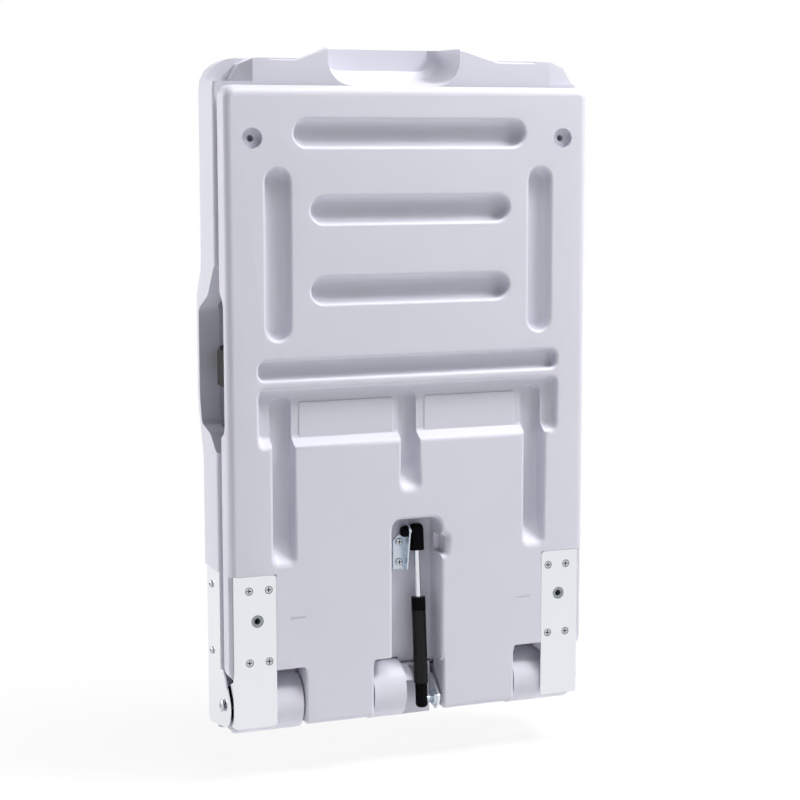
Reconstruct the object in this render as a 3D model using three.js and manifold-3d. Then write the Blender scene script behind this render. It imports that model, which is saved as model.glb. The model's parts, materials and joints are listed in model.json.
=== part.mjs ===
// Vertical baby changing station, folded up against its wall.
// Millimetres. The origin lies on the wall plane, on the centre line of the back panel.
// +Z is up, +Y points into the wall, -Y into the room, and +X is the side of the narrow hinge lobe.
import * as THREE from 'three';
import { mergeVertices } from 'three/addons/utils/BufferGeometryUtils.js';
import { ConvexGeometry } from 'three/addons/geometries/ConvexGeometry.js';
import Module from 'manifold-3d';

const wasm = await Module();
wasm.setup();

// Fits
const seatGap = 0.3;
const runningGap = 2;
const overrun = 5;
const arcSteps = 5;
const edgeSteps = 3;
const wideSides = 48;
const roundSides = 24;
const smallSides = 12;

// Back panel
const panelWidth = 476;
const panelHeight = 721;
const panelTop = 294;
const panelDepth = 31;
const panelCornerRadius = 14;
const panelEdgeRadius = 10;
const panelFrontEdgeRadius = 4;

// Hinge axis
const hingeBelowPanel = 37;
const hingeSetOut = 39;
const rodRadius = 6;
const drumRadius = 36;
const lobeRadius = 25.5;

// Knuckles along the axis, measured from the centre line
const lobeInset = 97;
const wideLobeInnerEdge = 43;
const narrowLobeInnerEdge = 51;
const middleDrumEdge = 6;
const lobeEdgeRadius = 4;
const lobeFootRadius = 7;
const notchRise = 49;
const notchRadius = 3;
const outerNotchWidth = 40;

// Wall fixing holes
const holeInset = 34.8;
const upperHoleDrop = 62.4;
const lowerHoleRise = 112.4;
const wallScrewRadius = 4;
const counterboreRadius = 12.5;
const counterboreDepth = 8;
const bushWall = 3.5;

// Moulded pockets of the back panel
const slotHeight = 40;
const slotDepth = 16;
const pocketRim = 4;
const pocketFillet = 8;
const topSlotShare = 0.0785;
const topSlotHoleGap = 48.2;
const lowerSlotShares = [0.2057, 0.3398];
const sideSlotWidth = 38;
const sideSlotHeight = 212.6;
const sideSlotInset = 46.6;
const sideSlotTopShare = 0.1319;
const slotRib = 19.2;
const bandInset = 36;
const grooveHeight = 31.5;
const grooveDepth = 13;
const grooveShare = 0.4712;
const grooveRadius = 8;
const bandHeight = 78.4;
const bandDepth = 14;
const bandTopShare = 0.4985;
const bandSlope = 10;
const bandRadius = 8;
const padGap = 5.1;
const padHeight = 50;
const padRise = 1.2;
const padRadius = 4;
const padShare = 0.5617;
const deepSlotWidth = 35.8;
const deepSlotDepth = 24;
const deepSlotInset = 52.7;
const deepSlotTopDrop = 10;
const deepSlotRamp = 27;
const deepSlotRadius = 9;
const middleSlotWidth = 32.8;
const middleSlotShift = 2;
const deepSlotFootShares = [0.81, 0.696];
const arrowLength = 22;
const arrowWidth = 7;
const arrowHead = 5;
const arrowShaftShare = 0.25;
const arrowDepth = 0.7;
const arrowInset = 85;
const arrowRise = 112.4;

// Strut channel
const channelTopRise = 229;
const channelDepth = 40;
const channelNarrowEdge = 26.5;
const channelWideEdge = 40;
const channelRadius = 12;
const channelRim = 4.5;
const channelWall = 4;
const channelFootGap = 2.3;
const sidePocketDepth = 28;
const sidePocketHeight = 42;
const sidePocketReach = 11;
const sidePocketDrop = 20;
const sidePocketRim = 9;

// Side cut-outs of the back panel
const cutoutWidth = 30;
const cutoutSkin = 12;
const cutoutTopShare = 0.359;
const cutoutHeight = 155;
const cutoutRamp = 17;

// Rear hinge plates
const plateThickness = 2.5;
const plateWidth = 53.5;
const plateTopRise = 168.5;
const plateFootDrop = 21;
const plateRadius = 5;
const plateSideSetIn = 5.5;
const plateBendRadius = 7;
const lipDepth = 7.5;
const plateScrewEdge = 9.5;
const plateScrewSpacing = 25.1;
const plateScrewRises = [150.5, 61];

// Bed
const bedOverhang = 3;
const bedTopAbovePanel = 33;
const bedRearSetOut = 38;
const bedFrontSetOut = 105;
const bellyRise = 22;
const bellyShares = [0.2949, 0.3567, 0.4982, 0.5978];
const bedCornerRadius = 36;
const bedFootCornerRadius = 12;
const bedEdgeRadius = 10;
const bedRearEdgeRadius = 4;
const bedTopRearRadius = 25;
const bedTopFrontRadius = 18;
const bedFootRadius = 22;
const bedRimWidth = 22;
const bedFloor = 12;
const trayTopGap = 34;
const trayFootRise = 93;
const trayCornerRadius = 38;
const trayFillet = 16;
const scoopHeight = 142;
const scoopTopShare = 0.3677;
const scoopLip = 5;
const scoopRampHeight = 60;
const scoopRampDepthShare = 0.4;
const scoopRadius = 8;
const crownRise = 14;
const earDrop = 0.5;
const crownPeakWidth = 3;
const crownSlopeWidths = [37, 50];
const crownInsets = [51, 38];
const crownEndReaches = [26, 34];
const crownEndSetIns = [20, 5];
const crownEndDrop = 28;
const crownEndShares = [0.55, 0.25];
const crownEndOverlap = 21;
const cornerStepWidth = 56;
const cornerStepDepth = 30;
const cornerStepRise = 5;
const crownRoot = 40;
const crownSetIn = 0.8;
const crownEdge = 3;
const gripHalfWidth = 87;
const gripShift = 8;
const gripDraft = 12;
const gripDrop = 46;
const gripRadius = 20;
const gripWall = 7;

// Bed side plates
const sidePlateThickness = 2;
const sidePlateTopRise = 168;
const sidePlateGap = 2;
const sidePlateFrontSetIn = 0.5;
const sidePlateRearGap = 1.2;
const sidePlateShoulderRise = 47;
const sidePlateFootRadius = 10;
const discRadius = 27;
const sideScrewSetIn = 20;
const sideScrewRises = [144, 59];

// Pivot screws
const pivotShankRadius = 4;
const pivotHeadRadius = 8;
const pivotHeadHeight = 3.8;
const pivotShankLength = 20;
const pivotHeadShares = [[0.94, 0.45], [0.7, 0.85], [0.45, 1]];
const pivotBoreGap = 5;
const pivotBushWall = 2.2;

// Gas strut
const strutSetOut = 17;
const upperBallRise = 203;
const upperBallSetOut = 30;
const lowerBallDrop = 11;
const lowerBallReach = 28;
const hubRadius = 29.5;
const hubRise = 14;
const strutSeatDepth = 7.2;
const strutRodRadius = 4;
const strutTubeRadius = 9;
const strutTubeWall = 1.5;
const strutTubeStart = 84.5;
const strutTubeEnd = 194.5;
const pistonLength = 12;
const pistonDrop = 40;
const guideLength = 34;
const plugLength = 10;
const plugOverlap = 5;
const rodSeat = 5;
const ballRadius = 5;
const ballSides = 16;
const studRadius = 3;
const upperSocketRadius = 9.5;
const upperSocketLength = 34;
const upperSocketCorner = 7;
const lowerSocketRadius = 7.8;
const lowerSocketReach = 11.5;
const lowerSocketCorner = 5;
const ballPlay = 0.5;

// Strut brackets
const bracketThickness = 2;
const bracketOuterEdge = 11.3;
const bracketFlangeEdge = 4;
const bracketTopRise = 1;
const bracketFootDrop = 49.7;
const bracketChamfer = 13.9;
const bracketFlangeFoot = 10;
const bracketScrewEdge = 7.9;
const bracketScrewDrops = [14.3, 40.3];
const studCapRadius = 7.3;
const studCapLength = 8;
const studCapShares = [[1, 0.5], [0.8, 0.85], [0.4, 1]];
const hangerThickness = 3;
const hangerOffset = 22.5;
const hangerRootRadius = 18;
const hangerLugRadius = 12;
const hangerLugDrop = 4;
const hangerLugSetBack = 2.5;
const hangerReach = 37.5;
const hangerNutRadius = 9.8;
const hangerNutLength = 5.5;
const hangerScrewReach = 12;
const hangerScrewTurns = [120, 240];
const knuckleSweepGap = 3;

// Screws
const smallScrewRadius = 2.2;
const smallHeadRadius = 4.8;
const smallHeadHeight = 2.2;
const smallScrewLength = 14;
const headShares = [0.5, 0.8];
const recessWidth = 1.1;
const recessReach = 2.6;
const recessDepth = 1;

// Safety strap
const strapWidth = 38;
const strapThickness = 1.6;
const strapShare = 0.4469;
const longWebReach = 85;
const webSeat = 5;
const buckleWidth = 44;
const buckleThickness = 13;
const buckleLength = 30;
const buckleSetIn = 4;
const tongueLength = 32;
const prongShare = 0.2;
const tongueThickness = 6;
const anchorWidth = 46;
const anchorLength = 22;
const anchorThickness = 3;
const anchorScrewLength = 11;

// Places that follow from the sizes above
const halfPanel = panelWidth / 2;
const halfBed = halfPanel + bedOverhang;
const lobeOuterEdge = halfPanel - lobeInset;
const panelFoot = panelTop - panelHeight;
const hingeZ = panelFoot - hingeBelowPanel;
const hingeY = -hingeSetOut;
const bedTop = panelTop + bedTopAbovePanel;
const bedFoot = hingeZ - drumRadius;
const bedHeight = bedTop - bedFoot;
const bedRear = -bedRearSetOut;
const bedFront = -bedFrontSetOut;
const plateOuter = halfPanel - plateSideSetIn;
const plateSideInner = plateOuter - plateThickness;
const drumOuter = plateOuter - plateBendRadius - seatGap;
const plateInnerEdge = plateOuter - plateWidth;
const sidePlateInner = plateOuter + sidePlateGap;
const sidePlateOuter = sidePlateInner + sidePlateThickness;
const plateTop = hingeZ + plateTopRise;
const plateFoot = hingeZ - plateFootDrop;
const earLeadRise = hingeBelowPanel - seatGap;
const channelTop = hingeZ + channelTopRise;
const channelFoot = hingeZ + drumRadius + channelFootGap;
const upperHoleZ = panelTop - upperHoleDrop;
const lowerHoleZ = hingeZ + lowerHoleRise;
const holeX = halfPanel - holeInset;
const bushRadius = wallScrewRadius + bushWall;
const pivotHoleRadius = pivotShankRadius + pivotBushWall + seatGap;
const upperBallZ = hingeZ + upperBallRise;
const upperBallY = -upperBallSetOut;
const lowerBallZ = hingeZ - lowerBallDrop;
const lowerBallY = hingeY + lowerBallReach;
const strutX = -strutSetOut;
const strutLength = Math.hypot(upperBallZ - lowerBallZ, upperBallY - lowerBallY);
const strutLean = Math.atan2(lowerBallY - upperBallY, upperBallZ - lowerBallZ);
const hangerX = strutX - hangerOffset;
const hubEnd = hangerX + hangerThickness + seatGap;
const hubTop = hingeZ + hubRadius;
const strutSeatY = hingeY + strutSeatDepth;
const bracketScrewX = bracketOuterEdge - bracketScrewEdge;
const strapZ = bedTop - strapShare * bedHeight;
const trayFloorY = bedFront - bellyRise + bedFloor;
const anchorX = halfBed - bedRimWidth - trayFillet - anchorLength / 2;

// Materials
const moulding = { color: 0xd6d7dd, roughness: 0.55, metalness: 0 };
const polishedSteel = { color: 0xdfe3ea, roughness: 0.12, metalness: 1 };
const zincSteel = { color: 0xc9d2dc, roughness: 0.3, metalness: 1 };
const blackPlastic = { color: 0x141416, roughness: 0.45, metalness: 0 };
const blackPaint = { color: 0x101012, roughness: 0.3, metalness: 0.2 };
const greyNylon = { color: 0x9a9ca2, roughness: 0.6, metalness: 0 };
const webbing = { color: 0x1c1c1f, roughness: 0.9, metalness: 0 };

const station = new THREE.Group();
const sides = [['left', 1], ['right', -1]];

// A closed three.js geometry as a manifold solid
function solid(geometry) {
  const bare = geometry.clone();
  bare.deleteAttribute('normal');
  bare.deleteAttribute('uv');
  const merged = mergeVertices(bare);
  const faces = [];
  for (let i = 0; i < merged.index.count; i += 3) {
    const [a, b, c] = [0, 1, 2].map((k) => merged.index.getX(i + k));
    if (a !== b && b !== c && c !== a) faces.push(a, b, c);
  }
  const mesh = new wasm.Mesh({
    numProp: 3,
    vertProperties: Float32Array.from(merged.attributes.position.array),
    triVerts: Uint32Array.from(faces),
  });
  return new wasm.Manifold(mesh);
}

// A manifold solid as a named mesh of the scene
function addPiece(name, piece, finish, parent = station) {
  const mesh = piece.getMesh();
  const geometry = new THREE.BufferGeometry();
  geometry.setAttribute('position', new THREE.BufferAttribute(Float32Array.from(mesh.vertProperties), 3));
  geometry.setIndex(new THREE.BufferAttribute(Uint32Array.from(mesh.triVerts), 1));
  geometry.computeVertexNormals();
  const node = new THREE.Mesh(geometry, new THREE.MeshStandardMaterial(finish));
  node.name = name;
  parent.add(node);
}

function joined(pieces) {
  return pieces.reduce((whole, piece) => whole.add(piece));
}

function cutBy(piece, tools) {
  return tools.reduce((rest, tool) => rest.subtract(tool), piece);
}

// A piece made for the +X side, turned over to the side of sign
function onSide(piece, sign) {
  return sign > 0 ? piece : piece.mirror([1, 0, 0]);
}

function bothSides(piece) {
  return [piece, onSide(piece, -1)];
}

function box(xLow, xHigh, yLow, yHigh, zLow, zHigh) {
  const geometry = new THREE.BoxGeometry(xHigh - xLow, yHigh - yLow, zHigh - zLow);
  geometry.translate((xLow + xHigh) / 2, (yLow + yHigh) / 2, (zLow + zHigh) / 2);
  return solid(geometry);
}

function barX(radius, xLow, xHigh, y, z, count = roundSides) {
  const geometry = new THREE.CylinderGeometry(radius, radius, xHigh - xLow, count);
  geometry.rotateZ(Math.PI / 2);
  geometry.translate((xLow + xHigh) / 2, y, z);
  return solid(geometry);
}

function barY(radius, yLow, yHigh, x, z, count = roundSides) {
  const geometry = new THREE.CylinderGeometry(radius, radius, yHigh - yLow, count);
  geometry.translate(x, (yLow + yHigh) / 2, z);
  return solid(geometry);
}

// A turned piece about Z from its half outline of radius and height, foot first
function turned(outline, count = roundSides) {
  const points = outline.map(([radius, height]) => new THREE.Vector2(radius, height));
  const geometry = new THREE.LatheGeometry(points, count);
  geometry.rotateX(Math.PI / 2);
  return solid(geometry);
}

function roundBar(radius, low, high, count = roundSides) {
  return turned([[0, low], [radius, low], [radius, high], [0, high]], count);
}

// A closed outline through points, each corner rounded by radius
function roundedShape(points, radius) {
  const shape = new THREE.Shape();
  const corners = points.map(([x, y]) => new THREE.Vector2(x, y));
  corners.forEach((corner, i) => {
    const before = corners[(i + corners.length - 1) % corners.length];
    const after = corners[(i + 1) % corners.length];
    const cutBefore = Math.min(radius, corner.distanceTo(before) / 2);
    const cutAfter = Math.min(radius, corner.distanceTo(after) / 2);
    const start = before.clone().sub(corner).setLength(cutBefore).add(corner);
    const end = after.clone().sub(corner).setLength(cutAfter).add(corner);
    if (i === 0) shape.moveTo(start.x, start.y);
    else shape.lineTo(start.x, start.y);
    shape.quadraticCurveTo(corner.x, corner.y, end.x, end.y);
  });
  shape.closePath();
  return shape;
}

// An outline in Y and Z carried along X, its end edges rounded by edge
function barOfProfile(shape, xLow, xHigh, edge = 0) {
  const geometry = new THREE.ExtrudeGeometry(shape, {
    depth: xHigh - xLow - 2 * edge,
    bevelEnabled: edge > 0,
    bevelSize: edge,
    bevelThickness: edge,
    bevelOffset: -edge,
    bevelSegments: edgeSteps,
    curveSegments: 2 * arcSteps,
  });
  const turn = new THREE.Matrix4().makeBasis(
    new THREE.Vector3(0, 1, 0),
    new THREE.Vector3(0, 0, 1),
    new THREE.Vector3(1, 0, 0),
  );
  geometry.applyMatrix4(turn);
  geometry.translate(xLow + edge, 0, 0);
  return solid(geometry);
}

// An outline in X and Z carried along Y
function slabOfOutline(shape, yLow, yHigh, edge = 0) {
  const geometry = new THREE.ExtrudeGeometry(shape, {
    depth: yHigh - yLow - 2 * edge,
    bevelEnabled: edge > 0,
    bevelSize: edge,
    bevelThickness: edge,
    bevelOffset: -edge,
    bevelSegments: edgeSteps,
    curveSegments: arcSteps,
  });
  geometry.rotateX(Math.PI / 2);
  geometry.translate(0, yHigh - edge, 0);
  return solid(geometry);
}

// An outline in X and Y carried along Z
function columnOfOutline(shape, zLow, zHigh) {
  const depth = zHigh - zLow;
  const geometry = new THREE.ExtrudeGeometry(shape, { depth, bevelEnabled: false, curveSegments: arcSteps });
  geometry.translate(0, 0, zLow);
  return solid(geometry);
}

// A closed skin through rings of points that all have the same count
function skinned(rings) {
  const count = rings[0].length;
  const index = [];
  for (let level = 0; level + 1 < rings.length; level += 1) {
    for (let side = 0; side < count; side += 1) {
      const a = level * count + side;
      const b = level * count + (side + 1) % count;
      index.push(a, b, b + count, a, b + count, a + count);
    }
  }
  const last = (rings.length - 1) * count;
  for (let side = 1; side + 1 < count; side += 1) {
    index.push(0, side + 1, side);
    index.push(last, last + side, last + side + 1);
  }
  const geometry = new THREE.BufferGeometry();
  geometry.setAttribute('position', new THREE.Float32BufferAttribute(rings.flat(2), 3));
  geometry.setIndex(index);
  return solid(geometry);
}

// A rounded rectangle as pairs, counterclockwise, with its own radius at the high and the low edge
function roundedPairs(halfWidth, low, high, lowRadius, highRadius, centre = 0) {
  const pairs = [];
  for (let quarter = 0; quarter < 4; quarter += 1) {
    const signA = quarter === 0 || quarter === 3 ? 1 : -1;
    const radius = quarter < 2 ? highRadius : lowRadius;
    const b = quarter < 2 ? high - highRadius : low + lowRadius;
    for (let step = 0; step <= arcSteps; step += 1) {
      const angle = (quarter + step / arcSteps) * Math.PI / 2;
      const a = signA * (halfWidth - radius) + radius * Math.cos(angle);
      pairs.push([centre + a, b + radius * Math.sin(angle)]);
    }
  }
  return pairs;
}

// A block lofted along Y: each section has a place, a growth on every side and a longer foot
function loftedBlock(xLow, xHigh, zLow, zHigh, radius, sections) {
  return skinned(sections.map(([y, grow, foot = 0]) => {
    const corner = Math.max(radius + grow, seatGap);
    const halfWidth = (xHigh - xLow) / 2 + grow;
    const centre = (xLow + xHigh) / 2;
    const pairs = roundedPairs(halfWidth, zLow - grow - foot, zHigh + grow, corner, corner, centre);
    return pairs.map(([x, z]) => [x, y, z]);
  }));
}

// Sections of a pocket in a face that looks towards +Y: rounded rim, filleted floor, sloping foot
function pocketSections(depth, rim, fillet, slope = 0) {
  const sections = [[overrun, rim]];
  for (let step = 0; step <= edgeSteps; step += 1) {
    const angle = step / edgeSteps * Math.PI / 2;
    sections.push([rim * Math.cos(angle) - rim, rim - rim * Math.sin(angle)]);
  }
  for (let step = 0; step <= edgeSteps; step += 1) {
    const angle = step / edgeSteps * Math.PI / 2;
    sections.push([fillet - depth - fillet * Math.sin(angle), fillet * Math.cos(angle) - fillet]);
  }
  return sections.map(([y, grow]) => [y, grow, slope * Math.min(1, (y + depth) / depth)]);
}

// A pocket whose rim reaches the given edges on the face
function rimmedPocket(xLow, xHigh, zLow, zHigh, radius, rim, sections) {
  return loftedBlock(xLow + rim, xHigh - rim, zLow + rim, zHigh - rim, radius, sections);
}

// Sections of a slab between two faces, with its edges rounded
function slabSections(rear, front, rearEdge, frontEdge) {
  const sections = [];
  for (let step = 0; step <= edgeSteps; step += 1) {
    const angle = step / edgeSteps * Math.PI / 2;
    sections.push([rear - rearEdge + rearEdge * Math.cos(angle), rearEdge * Math.sin(angle) - rearEdge]);
  }
  for (let step = 0; step <= edgeSteps; step += 1) {
    const angle = step / edgeSteps * Math.PI / 2;
    sections.push([front + frontEdge - frontEdge * Math.sin(angle), frontEdge * Math.cos(angle) - frontEdge]);
  }
  return sections;
}

function panelZ(share) {
  return panelTop - share * panelHeight;
}

// Pockets of the back panel
function slotPocket(xLow, xHigh, zLow, zHigh) {
  const radius = Math.min(xHigh - xLow, zHigh - zLow) / 2 - pocketRim;
  const sections = pocketSections(slotDepth, pocketRim, pocketFillet);
  return rimmedPocket(xLow, xHigh, zLow, zHigh, radius, pocketRim, sections);
}

function rowSlot(share, reach) {
  const z = panelZ(share);
  return slotPocket(-reach, reach, z - slotHeight / 2, z + slotHeight / 2);
}

function deepSlot(centre, width, footShare) {
  const top = panelZ(bandTopShare) - deepSlotTopDrop;
  const foot = panelZ(footShare) + deepSlotRamp;
  const sections = pocketSections(deepSlotDepth, pocketRim, pocketRim, deepSlotRamp);
  return rimmedPocket(centre - width / 2, centre + width / 2, foot, top, deepSlotRadius, pocketRim, sections);
}

function bandPockets() {
  const edge = halfPanel - bandInset;
  const top = panelZ(bandTopShare);
  const grooveZ = panelZ(grooveShare);
  const bandCut = pocketSections(bandDepth, pocketRim, pocketRim, bandSlope);
  const grooveCut = pocketSections(grooveDepth, pocketRim, pocketRim);
  const grooveTop = grooveZ + grooveHeight / 2;
  return [
    rimmedPocket(-edge, edge, top - bandHeight + bandSlope, top, bandRadius, pocketRim, bandCut),
    rimmedPocket(-edge, edge, grooveTop - grooveHeight, grooveTop, grooveRadius, pocketRim, grooveCut),
  ];
}

function deepSlotCentre() {
  return halfPanel - deepSlotInset - deepSlotWidth / 2;
}

function warningPad() {
  const sections = [[-bandDepth + padRise, -padRise], [-bandDepth, 0], [-bandDepth - overrun, 0]];
  const top = panelZ(padShare) + padHeight / 2;
  const inner = middleSlotWidth / 2 + middleSlotShift + pocketRim / 2;
  const outer = deepSlotCentre() - deepSlotWidth / 2 - padGap;
  return loftedBlock(inner, outer, top - padHeight, top, padRadius, sections);
}

function sidePocket() {
  const top = channelTop - sidePocketDrop;
  const edge = -channelWideEdge - channelRim - sidePocketReach;
  const sections = pocketSections(sidePocketDepth, sidePocketRim, pocketRim);
  const inner = -channelWideEdge + pocketFillet + sidePocketRim;
  return rimmedPocket(edge, inner, top - sidePocketHeight, top, pocketRim, sidePocketRim, sections);
}

function strutChannel() {
  const sections = pocketSections(channelDepth, channelRim, channelRim);
  const low = bedFoot - overrun;
  const top = channelTop - channelRim;
  return loftedBlock(-channelWideEdge, channelNarrowEdge, low, top, channelRadius, sections);
}

function edgeCutout() {
  const top = panelZ(cutoutTopShare);
  const foot = top - cutoutHeight;
  const shape = roundedShape([
    [-cutoutSkin, top],
    [-cutoutSkin, foot],
    [-panelDepth - cutoutRamp, foot - cutoutRamp],
    [-panelDepth - cutoutRamp, top + cutoutRamp * 2],
  ], pocketFillet);
  return barOfProfile(shape, halfPanel - cutoutWidth, halfPanel + overrun);
}

function moldedArrow() {
  const z = hingeZ + arrowRise;
  const tip = halfPanel - arrowInset + arrowLength / 2;
  const neck = tip - arrowHead;
  const shaft = arrowShaftShare * arrowWidth / 2;
  const shape = new THREE.Shape();
  shape.moveTo(tip, z);
  shape.lineTo(neck, z + arrowWidth / 2);
  shape.lineTo(neck, z + shaft);
  shape.lineTo(tip - arrowLength, z + shaft);
  shape.lineTo(tip - arrowLength, z - shaft);
  shape.lineTo(neck, z - shaft);
  shape.lineTo(neck, z - arrowWidth / 2);
  shape.closePath();
  return slabOfOutline(shape, -arrowDepth, overrun);
}

// Knuckles of the back panel
function lobeProfile() {
  const foot = hingeZ - lobeRadius;
  const shape = new THREE.Shape();
  const root = hingeZ + notchRise + 2 * overrun;
  shape.moveTo(0, root);
  shape.lineTo(0, foot + lobeFootRadius);
  shape.quadraticCurveTo(0, foot, -lobeFootRadius, foot);
  shape.lineTo(hingeY, foot);
  shape.absarc(hingeY, hingeZ, lobeRadius, -Math.PI / 2, -1.5 * Math.PI, true);
  shape.lineTo(-panelDepth, root);
  return shape;
}

function notch(xLow, xHigh) {
  const sections = [[overrun, 0], [-panelDepth - overrun, 0]];
  return loftedBlock(xLow, xHigh, bedFoot - overrun, hingeZ + notchRise, notchRadius, sections);
}

// Everything outside the inner face of a rear hinge plate, grown by the seat gap
function plateSeat() {
  const edge = plateInnerEdge - seatGap;
  const centre = plateOuter - plateBendRadius;
  const inner = plateBendRadius - plateThickness - seatGap;
  const shape = new THREE.Shape();
  shape.moveTo(edge, overrun);
  shape.lineTo(edge, -plateThickness - seatGap);
  shape.lineTo(centre, -plateThickness - seatGap);
  shape.absarc(centre, -plateBendRadius, inner, Math.PI / 2, 0, true);
  shape.lineTo(centre + inner, -lipDepth - seatGap);
  shape.lineTo(halfBed + overrun, -lipDepth - seatGap);
  shape.lineTo(halfBed + overrun, overrun);
  shape.closePath();
  return columnOfOutline(shape, bedFoot - overrun, plateTop + seatGap);
}

function plateScrewPlaces() {
  const inner = plateInnerEdge + plateScrewEdge;
  return plateScrewRises.flatMap((rise) => [
    [inner, hingeZ + rise],
    [inner + plateScrewSpacing, hingeZ + rise],
  ]);
}

// A bore along Y for a small screw
function screwBoreY(yLow, yHigh, x, z) {
  return barY(smallScrewRadius + seatGap, yLow, yHigh, x, z, smallSides);
}

function makePanel() {
  const sideSlotOuter = halfPanel - sideSlotInset;
  const sideSlotInner = sideSlotOuter - sideSlotWidth;
  const sideSlotTop = panelZ(sideSlotTopShare);
  const sweep = drumRadius + runningGap;
  const outlineCut = slabSections(0, -panelDepth, panelEdgeRadius, panelFrontEdgeRadius);
  const bossCut = slabSections(-panelDepth + overrun, -channelDepth - channelWall, 0, channelWall);
  const bossReach = channelRim + channelWall;
  const [band, groove] = bandPockets();
  const body = joined([
    loftedBlock(-halfPanel, halfPanel, panelFoot, panelTop, panelCornerRadius, outlineCut),
    loftedBlock(
      -channelWideEdge - bossReach,
      channelNarrowEdge + bossReach,
      channelFoot,
      channelTop + channelWall,
      channelRadius,
      bossCut,
    ),
    box(
      -wideLobeInnerEdge - channelWall,
      middleDrumEdge - runningGap,
      -channelDepth - channelWall,
      -channelDepth + channelWall,
      hubTop + channelFootGap,
      channelFoot + channelRadius,
    ),
    barOfProfile(lobeProfile(), narrowLobeInnerEdge, lobeOuterEdge, lobeEdgeRadius),
    barOfProfile(lobeProfile(), -lobeOuterEdge, -wideLobeInnerEdge, lobeEdgeRadius),
  ]);
  return cutBy(joined([body.subtract(band), ...bothSides(warningPad())]), [
    groove,
    rowSlot(topSlotShare, holeX - topSlotHoleGap),
    ...lowerSlotShares.map((share) => rowSlot(share, sideSlotInner - slotRib)),
    ...bothSides(slotPocket(sideSlotInner, sideSlotOuter, sideSlotTop - sideSlotHeight, sideSlotTop)),
    ...bothSides(deepSlot(deepSlotCentre(), deepSlotWidth, deepSlotFootShares[0])),
    deepSlot(middleSlotShift, middleSlotWidth, deepSlotFootShares[1]),
    strutChannel(),
    sidePocket(),
    notch(0, narrowLobeInnerEdge),
    ...bothSides(notch(lobeOuterEdge, lobeOuterEdge + outerNotchWidth)),
    barX(sweep, middleDrumEdge - runningGap, narrowLobeInnerEdge, hingeY, hingeZ, wideSides),
    ...bothSides(barX(sweep, lobeOuterEdge, halfPanel + overrun, hingeY, hingeZ, wideSides)),
    ...bothSides(plateSeat()),
    ...bothSides(edgeCutout()),
    barX(rodRadius + seatGap, -halfPanel, halfPanel, hingeY, hingeZ, 2 * smallSides),
    ...bothSides(barY(wallScrewRadius, -panelDepth - overrun, overrun, holeX, upperHoleZ)),
    ...bothSides(barY(counterboreRadius, -counterboreDepth, overrun, holeX, upperHoleZ)),
    ...bothSides(barY(bushRadius + seatGap, -panelDepth - overrun, overrun, holeX, lowerHoleZ)),
    ...bothSides(moldedArrow()),
    ...plateScrewPlaces().flatMap(([x, z]) => bothSides(
      screwBoreY(-smallScrewLength - 3 * seatGap, overrun, x, z),
    )),
    ...bracketScrewDrops.map((drop) => screwBoreY(
      -channelDepth - channelWall - overrun,
      -channelDepth + overrun,
      bracketScrewX,
      upperBallZ - drop,
    )),
  ]);
}

addPiece('back_panel', makePanel(), moulding);

// A cross recess in the top of a head
function crossRecess(top) {
  const half = recessWidth / 2;
  const slot = box(-recessReach, recessReach, -half, half, top - recessDepth, top + recessDepth);
  return [slot, slot.rotate([0, 0, 90])];
}

// A screw that points down -Z, with its pan head standing on the ground plane
function panScrew(length) {
  const [rimShare, topShare] = headShares;
  return cutBy(turned([
    [0, -length],
    [smallScrewRadius, smallScrewRadius - length],
    [smallScrewRadius, 0],
    [smallHeadRadius, 0],
    [smallHeadRadius, rimShare * smallHeadHeight],
    [topShare * smallHeadRadius, smallHeadHeight],
    [0, smallHeadHeight],
  ], smallSides), crossRecess(smallHeadHeight));
}

// A screw that points down -Z, with the top of its sunk head in the ground plane
function sunkScrew() {
  return cutBy(turned([
    [0, -smallScrewLength],
    [smallScrewRadius, smallScrewRadius - smallScrewLength],
    [smallScrewRadius, -smallHeadHeight],
    [smallHeadRadius, 0],
    [0, 0],
  ], smallSides), crossRecess(0));
}

// The room that a sunk screw needs, opening towards +Z
function sunkSeat() {
  const shank = smallScrewRadius + seatGap;
  const drop = smallHeadHeight + seatGap;
  return turned([
    [0, -drop - 2 * plateThickness],
    [shank, -drop - 2 * plateThickness],
    [shank, -drop],
    [smallHeadRadius + seatGap, -seatGap],
    [smallHeadRadius + seatGap, overrun],
    [0, overrun],
  ], smallSides);
}

// Rear hinge plates
function plateSection() {
  const centre = plateOuter - plateBendRadius;
  const inner = plateBendRadius - plateThickness;
  const section = new THREE.Shape();
  section.moveTo(plateInnerEdge, 0);
  section.lineTo(plateInnerEdge, -plateThickness);
  section.lineTo(centre, -plateThickness);
  section.absarc(centre, -plateBendRadius, inner, Math.PI / 2, 0, true);
  section.lineTo(plateSideInner, -lipDepth);
  section.lineTo(plateOuter, -lipDepth);
  section.lineTo(plateOuter, -plateBendRadius);
  section.absarc(centre, -plateBendRadius, plateBendRadius, 0, Math.PI / 2, false);
  section.closePath();
  return section;
}

function earProfile() {
  const lead = [hingeSetOut - lipDepth, earLeadRise];
  const tangent = Math.atan2(lead[1], lead[0]) + Math.acos(plateFootDrop / Math.hypot(lead[0], lead[1]));
  const ear = new THREE.Shape();
  ear.moveTo(-plateBendRadius, hingeZ + earLeadRise);
  ear.lineTo(-plateBendRadius, plateFoot);
  ear.lineTo(hingeY, plateFoot);
  ear.absarc(hingeY, hingeZ, plateFootDrop, -Math.PI / 2, tangent - 2 * Math.PI, true);
  ear.lineTo(-lipDepth, hingeZ + earLeadRise);
  ear.closePath();
  return ear;
}

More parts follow.
